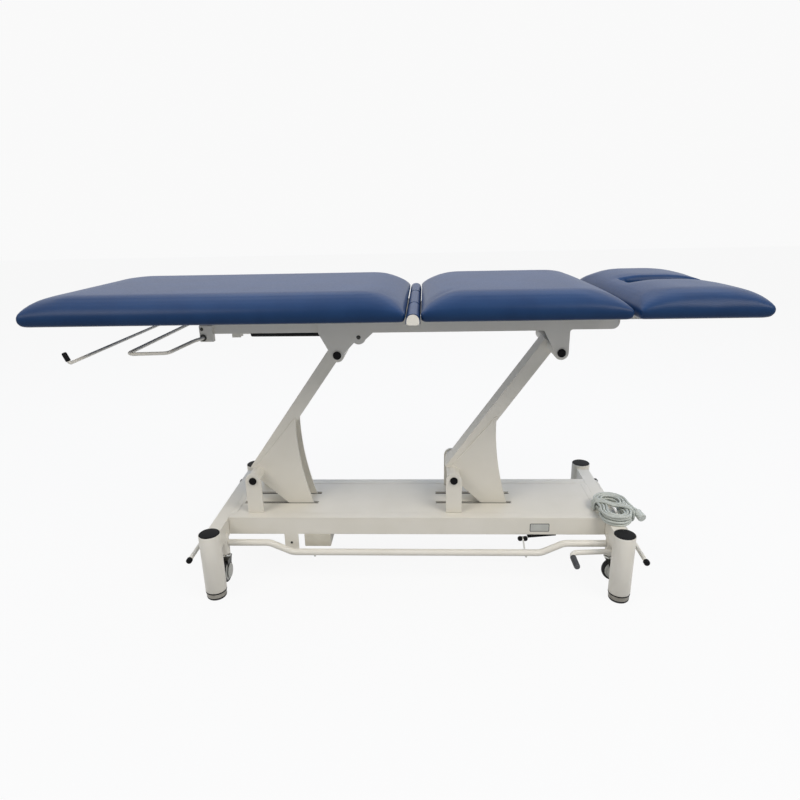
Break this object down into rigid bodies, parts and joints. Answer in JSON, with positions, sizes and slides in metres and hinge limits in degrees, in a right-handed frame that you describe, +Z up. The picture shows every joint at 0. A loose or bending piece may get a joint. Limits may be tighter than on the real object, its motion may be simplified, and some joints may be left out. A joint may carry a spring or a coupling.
{
  "type": "treatment table",
  "caption": "Height-adjustable treatment table with a long, a middle and a slotted head pad on a parallel-arm electric lift.",
  "frame": {"origin": "on the floor under the middle of the table", "axes": "+X to the head end along the length, +Y to the far long side, +Z up"},
  "size_m": [1.93, 0.66, 0.94],
  "materials": {
    "painted_steel": "off-white powder coat, satin",
    "navy_vinyl": "navy vinyl over foam, fine grain",
    "black_plastic": "black moulded plastic",
    "grey_plastic": "light grey moulded plastic",
    "zinc_steel": "zinc-plated steel",
    "black_rubber": "dark rubber tread",
    "cord_pvc": "light grey PVC sheath"
  },
  "bodies": {
    "base": {"base_rail_near": "painted_steel", "base_rail_far": "painted_steel", "base_cover": "painted_steel", "end_beam_left": "painted_steel", "end_beam_right": "painted_steel", "column_near_left": "painted_steel", "column_near_right": "painted_steel", "column_far_left": "painted_steel", "column_far_right": "painted_steel", "pivot_bracket_near_left": "painted_steel", "pivot_bracket_near_right": "painted_steel", "pivot_bracket_far_left": "painted_steel", "pivot_bracket_far_right": "painted_steel", "cord_gland": "black_plastic", "foot_near_left": "grey_plastic", "foot_near_right": "grey_plastic", "foot_far_left": "grey_plastic", "foot_far_right": "grey_plastic", "cord_hank": "cord_pvc", "cord_plug": "cord_pvc", "control_box": "grey_plastic", "foot_switch": "black_plastic"},
    "lift_arm_left": {"lift_arm_left": "painted_steel", "lower_pin_left": "black_plastic"},
    "lift_arm_right": {"lift_arm_right": "painted_steel", "lower_pin_right": "black_plastic"},
    "top_frame": {"side_plate_near": "painted_steel", "side_plate_far": "painted_steel", "mid_frame": "painted_steel", "mid_pad": "navy_vinyl", "hinge_tube": "painted_steel", "head_hinge_rod": "zinc_steel", "upper_pin_left": "black_plastic", "upper_pin_right": "black_plastic"},
    "long_section": {"long_frame": "painted_steel", "long_pad": "navy_vinyl", "paper_roll_holder": "painted_steel"},
    "release_bail": {"release_bail": "painted_steel"},
    "head_section": {"head_frame": "painted_steel", "head_pad": "navy_vinyl"},
    "gas_spring_cylinder": {"gas_spring_cylinder": "black_plastic"},
    "gas_spring_rod": {"gas_spring_rod": "zinc_steel"},
    "actuator_body": {"actuator_body": "black_plastic"},
    "actuator_rod": {"actuator_rod": "zinc_steel"},
    "foot_bar_near": {"foot_bar_near": "painted_steel"},
    "foot_bar_far": {"foot_bar_far": "painted_steel"},
    "caster_pedal_left": {"caster_pedal_left": "painted_steel"},
    "caster_pedal_right": {"caster_pedal_right": "painted_steel"},
    "caster_stem_near_left": {"caster_stem_near_left": "zinc_steel"},
    "caster_fork_near_left": {"caster_fork_near_left": "grey_plastic"},
    "caster_wheel_near_left": {"caster_wheel_near_left": "black_rubber"},
    "caster_stem_far_left": {"caster_stem_far_left": "zinc_steel"},
    "caster_fork_far_left": {"caster_fork_far_left": "grey_plastic"},
    "caster_wheel_far_left": {"caster_wheel_far_left": "black_rubber"},
    "caster_stem_near_right": {"caster_stem_near_right": "zinc_steel"},
    "caster_fork_near_right": {"caster_fork_near_right": "grey_plastic"},
    "caster_wheel_near_right": {"caster_wheel_near_right": "black_rubber"},
    "caster_stem_far_right": {"caster_stem_far_right": "zinc_steel"},
    "caster_fork_far_right": {"caster_fork_far_right": "grey_plastic"},
    "caster_wheel_far_right": {"caster_wheel_far_right": "black_rubber"}
  },
  "joints": [
    {"name": "lift", "type": "hinge", "parent": "base", "child": "lift_arm_left", "pos_m": [-0.4544, 0, 0.3201], "axis": [0, 1, 0], "range_deg": [0, 60]},
    {"name": "lift_right", "type": "hinge", "parent": "base", "child": "lift_arm_right", "pos_m": [0.1898, 0, 0.3201], "axis": [0, 1, 0], "range_deg": [0, 60]},
    {"name": "top_level", "type": "hinge", "parent": "lift_arm_left", "child": "top_frame", "pos_m": [-0.15346, 0, 0.74122], "axis": [0, 1, 0], "range_deg": [-60, 0]},
    {"name": "long_section_hinge", "type": "hinge", "parent": "top_frame", "child": "long_section", "pos_m": [0.0715, 0, 0.872], "axis": [0, 1, 0], "range_deg": [0, 75]},
    {"name": "bail_hinge", "type": "hinge", "parent": "long_section", "child": "release_bail", "pos_m": [-0.543, 0, 0.797], "axis": [0, 1, 0], "range_deg": [0, 15]},
    {"name": "head_hinge", "type": "hinge", "parent": "top_frame", "child": "head_section", "pos_m": [0.634, 0, 0.85], "axis": [0, 1, 0], "range_deg": [-20, 60]},
    {"name": "gas_spring_pivot", "type": "hinge", "parent": "top_frame", "child": "gas_spring_cylinder", "pos_m": [-0.089, -0.065, 0.794], "axis": [0, 1, 0], "range_deg": [0, 86]},
    {"name": "gas_spring_stroke", "type": "slide", "parent": "gas_spring_cylinder", "child": "gas_spring_rod", "axis": [-1, 0, 0.0053], "range_m": [0, 0.205]},
    {"name": "actuator_pivot", "type": "hinge", "parent": "base", "child": "actuator_body", "pos_m": [-0.136, 0, 0.165], "axis": [0, 1, 0], "range_deg": [0, 13]},
    {"name": "actuator_stroke", "type": "slide", "parent": "actuator_body", "child": "actuator_rod", "axis": [0.9995, 0, 0.0311], "range_m": [-0.2, 0]},
    {"name": "foot_bar_near_swing", "type": "hinge", "parent": "base", "child": "foot_bar_near", "pos_m": [0.064, -0.17, 0.135], "axis": [1, 0, 0], "range_deg": [-8, 8], "stiffness_Nm_per_rad": 6},
    {"name": "foot_bar_far_swing", "type": "hinge", "parent": "base", "child": "foot_bar_far", "pos_m": [0.064, 0.17, 0.135], "axis": [1, 0, 0], "range_deg": [-8, 8], "stiffness_Nm_per_rad": 6},
    {"name": "caster_pedal_left_hinge", "type": "hinge", "parent": "base", "child": "caster_pedal_left", "pos_m": [-0.586, 0, 0.128], "axis": [0, 1, 0], "range_deg": [-25, 0]},
    {"name": "caster_near_left_drop", "type": "slide", "parent": "base", "child": "caster_stem_near_left", "axis": [0, 0, -1], "range_m": [0, 0.031]},
    {"name": "caster_near_left_swivel", "type": "hinge", "parent": "caster_stem_near_left", "child": "caster_fork_near_left", "pos_m": [-0.546, -0.17, 0.0865], "axis": [0, 0, 1], "continuous": true},
    {"name": "caster_near_left_roll", "type": "hinge", "parent": "caster_fork_near_left", "child": "caster_wheel_near_left", "pos_m": [-0.546, -0.188, 0.0435], "axis": [1, 0, 0], "continuous": true},
    {"name": "caster_far_left_drop", "type": "slide", "parent": "base", "child": "caster_stem_far_left", "axis": [0, 0, -1], "range_m": [0, 0.031]},
    {"name": "caster_far_left_swivel", "type": "hinge", "parent": "caster_stem_far_left", "child": "caster_fork_far_left", "pos_m": [-0.546, 0.17, 0.0865], "axis": [0, 0, 1], "continuous": true},
    {"name": "caster_far_left_roll", "type": "hinge", "parent": "caster_fork_far_left", "child": "caster_wheel_far_left", "pos_m": [-0.546, 0.152, 0.0435], "axis": [1, 0, 0], "continuous": true},
    {"name": "caster_pedal_right_hinge", "type": "hinge", "parent": "base", "child": "caster_pedal_right", "pos_m": [0.714, 0, 0.128], "axis": [0, 1, 0], "range_deg": [-25, 0]},
    {"name": "caster_near_right_drop", "type": "slide", "parent": "base", "child": "caster_stem_near_right", "axis": [0, 0, -1], "range_m": [0, 0.031]},
    {"name": "caster_near_right_swivel", "type": "hinge", "parent": "caster_stem_near_right", "child": "caster_fork_near_right", "pos_m": [0.674, -0.17, 0.0865], "axis": [0, 0, 1], "continuous": true},
    {"name": "caster_near_right_roll", "type": "hinge", "parent": "caster_fork_near_right", "child": "caster_wheel_near_right", "pos_m": [0.692, -0.17, 0.0435], "axis": [0, 1, 0], "continuous": true},
    {"name": "caster_far_right_drop", "type": "slide", "parent": "base", "child": "caster_stem_far_right", "axis": [0, 0, -1], "range_m": [0, 0.031]},
    {"name": "caster_far_right_swivel", "type": "hinge", "parent": "caster_stem_far_right", "child": "caster_fork_far_right", "pos_m": [0.674, 0.17, 0.0865], "axis": [0, 0, 1], "continuous": true},
    {"name": "caster_far_right_roll", "type": "hinge", "parent": "caster_fork_far_right", "child": "caster_wheel_far_right", "pos_m": [0.68161, 0.15369, 0.0435], "axis": [0.9063, 0.4226, 0], "continuous": true}
  ],
  "couplings": [
    {"joint": "lift_right", "follows": "lift", "ratio": 1},
    {"joint": "top_level", "follows": "lift", "ratio": -1},
    {"joint": "actuator_pivot", "follows": "lift", "ratio": 0.2072},
    {"joint": "actuator_stroke", "follows": "lift", "m_per_rad": -0.18759},
    {"joint": "gas_spring_pivot", "follows": "long_section_hinge", "ratio": 1.1272},
    {"joint": "gas_spring_stroke", "follows": "long_section_hinge", "m_per_rad": 0.1549},
    {"joint": "caster_near_left_drop", "follows": "caster_pedal_left_hinge", "m_per_rad": -0.06875},
    {"joint": "caster_far_left_drop", "follows": "caster_pedal_left_hinge", "m_per_rad": -0.06875},
    {"joint": "caster_near_right_drop", "follows": "caster_pedal_right_hinge", "m_per_rad": -0.06875},
    {"joint": "caster_far_right_drop", "follows": "caster_pedal_right_hinge", "m_per_rad": -0.06875}
  ]
}
